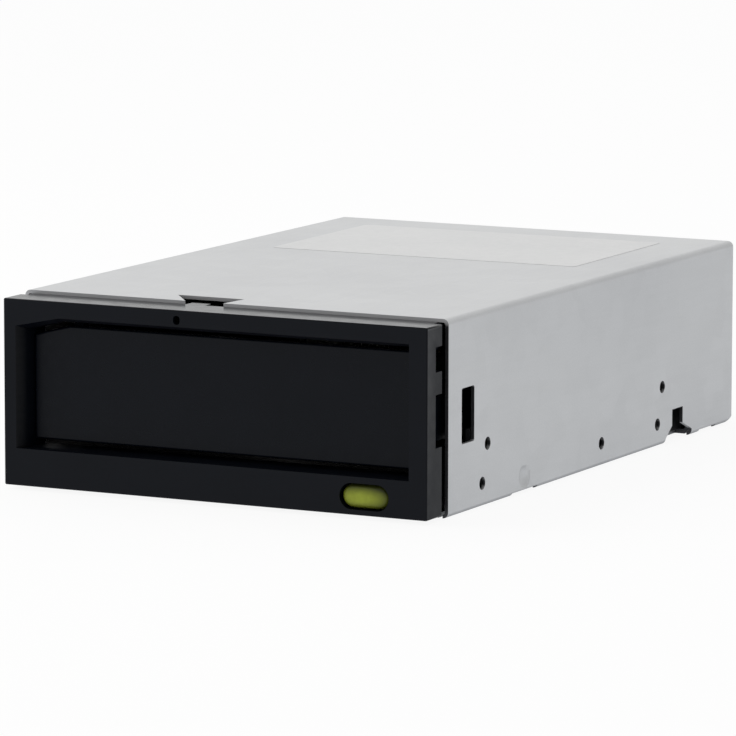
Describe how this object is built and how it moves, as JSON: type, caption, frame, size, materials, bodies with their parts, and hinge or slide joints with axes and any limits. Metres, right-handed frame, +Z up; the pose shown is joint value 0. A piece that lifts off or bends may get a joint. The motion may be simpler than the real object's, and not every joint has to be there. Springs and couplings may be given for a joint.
{
  "type": "removable disk drive",
  "caption": "Internal bay drive for removable disk cartridges, with a black keyed bezel, sprung flap door, green eject button, motor eject rack, lock lever and a plated steel case.",
  "frame": {"origin": "middle of the drive's box, on the surface that it stands on", "axes": "+Z up, -Y out of the bezel and +X to the right as seen from the front"},
  "size_m": [0.1016, 0.16, 0.042],
  "materials": {
    "cover_steel": "zinc-plated sheet, satin",
    "tray_steel": "zinc-plated sheet, satin",
    "bracket_steel": "plain zinc plate",
    "screw_steel": "bright plated",
    "pin_steel": "ground",
    "spring_steel": "drawn wire",
    "bezel_plastic": "fine-textured black moulding",
    "door_plastic": "fine-textured black moulding",
    "bay_plastic": "plain black moulding",
    "button_plastic": "translucent green, glossy",
    "board_laminate": "green solder mask",
    "chip_plastic": "moulded package",
    "socket_plastic": "moulded nylon",
    "contact_brass": "plated spring brass",
    "can_aluminium": "drawn can",
    "lamp_resin": "clear tinted resin",
    "gear_plastic": "natural acetal",
    "fan_plastic": "black moulding"
  },
  "bodies": {
    "chassis": {"top_cover": "cover_steel", "base_tray": "tray_steel", "rear_panel": "tray_steel", "cover_screws": "screw_steel", "front_bezel": "bezel_plastic", "door_spring": "spring_steel", "button_spring": "spring_steel", "bay_deck": "bay_plastic", "left_guide_rail": "bay_plastic", "right_guide_rail": "bay_plastic", "lock_bridge": "bracket_steel", "lock_pivot_pin": "pin_steel", "lock_spring": "spring_steel", "bridge_screws": "screw_steel", "main_board": "board_laminate", "board_spacers": "pin_steel", "board_screws": "screw_steel", "eject_switch": "socket_plastic", "status_led": "lamp_resin", "bridge_chip": "chip_plastic", "board_capacitors": "can_aluminium", "media_connector": "socket_plastic", "media_contacts": "contact_brass", "connector_riser": "board_laminate", "riser_header": "socket_plastic", "usb_socket": "socket_plastic", "power_socket": "socket_plastic", "fan_housing": "fan_plastic", "fan_screws": "screw_steel", "mechanism_frame": "bracket_steel", "frame_posts": "pin_steel", "frame_screws": "screw_steel", "drive_motor": "bracket_steel", "motor_screws": "screw_steel"},
    "door": {"flap_door": "door_plastic", "door_hinge_pin": "pin_steel"},
    "button": {"eject_button": "button_plastic"},
    "gear_train": {"gear_shaft": "pin_steel", "reduction_gear": "gear_plastic", "rack_pinion": "gear_plastic", "shaft_clip": "spring_steel"},
    "motor_rotor": {"motor_shaft": "pin_steel", "motor_pinion": "contact_brass"},
    "slider": {"eject_slider": "gear_plastic"},
    "lock": {"lock_lever": "bracket_steel"},
    "rod": {"release_rod": "bay_plastic"},
    "fan": {"fan_rotor": "fan_plastic"}
  },
  "joints": [
    {"name": "door_hinge", "type": "hinge", "parent": "chassis", "child": "door", "pos_m": [0, -0.0716, 0.0374], "axis": [1, 0, 0], "range_deg": [0, 88], "stiffness_Nm_per_rad": 0.002, "springref_deg": -28.65},
    {"name": "button_press", "type": "slide", "parent": "chassis", "child": "button", "axis": [0, 1, 0], "range_m": [0, 0.001], "stiffness_N_per_m": 300, "springref_m": -0.0005, "deforming": ["button_spring"]},
    {"name": "eject_slide", "type": "slide", "parent": "chassis", "child": "slider", "axis": [0, -1, 0], "range_m": [0, 0.012]},
    {"name": "gear_turn", "type": "hinge", "parent": "chassis", "child": "gear_train", "pos_m": [-0.03, 0.058, 0.022], "axis": [0, 0, 1], "range_deg": [0, 114.6]},
    {"name": "motor_spin", "type": "hinge", "parent": "chassis", "child": "motor_rotor", "pos_m": [-0.01701, 0.0655, 0.032], "axis": [0, 0, 1], "range_deg": [-458.4, 0]},
    {"name": "emergency_push", "type": "slide", "parent": "chassis", "child": "rod", "axis": [0, 1, 0], "range_m": [0, 0.004], "stiffness_N_per_m": 100, "springref_m": -0.001},
    {"name": "lock_lift", "type": "hinge", "parent": "chassis", "child": "lock", "pos_m": [-0.0084, -0.002, 0.0376], "axis": [1, 0, 0], "range_deg": [0, 6.9]},
    {"name": "fan_spin", "type": "hinge", "parent": "chassis", "child": "fan", "pos_m": [0.028, 0.071, 0.022], "axis": [0, 1, 0], "continuous": true}
  ],
  "couplings": [
    {"joint": "gear_turn", "follows": "eject_slide", "rad_per_m": 166.67},
    {"joint": "motor_spin", "follows": "eject_slide", "rad_per_m": -666.67},
    {"joint": "lock_lift", "follows": "emergency_push", "rad_per_m": 30}
  ]
}
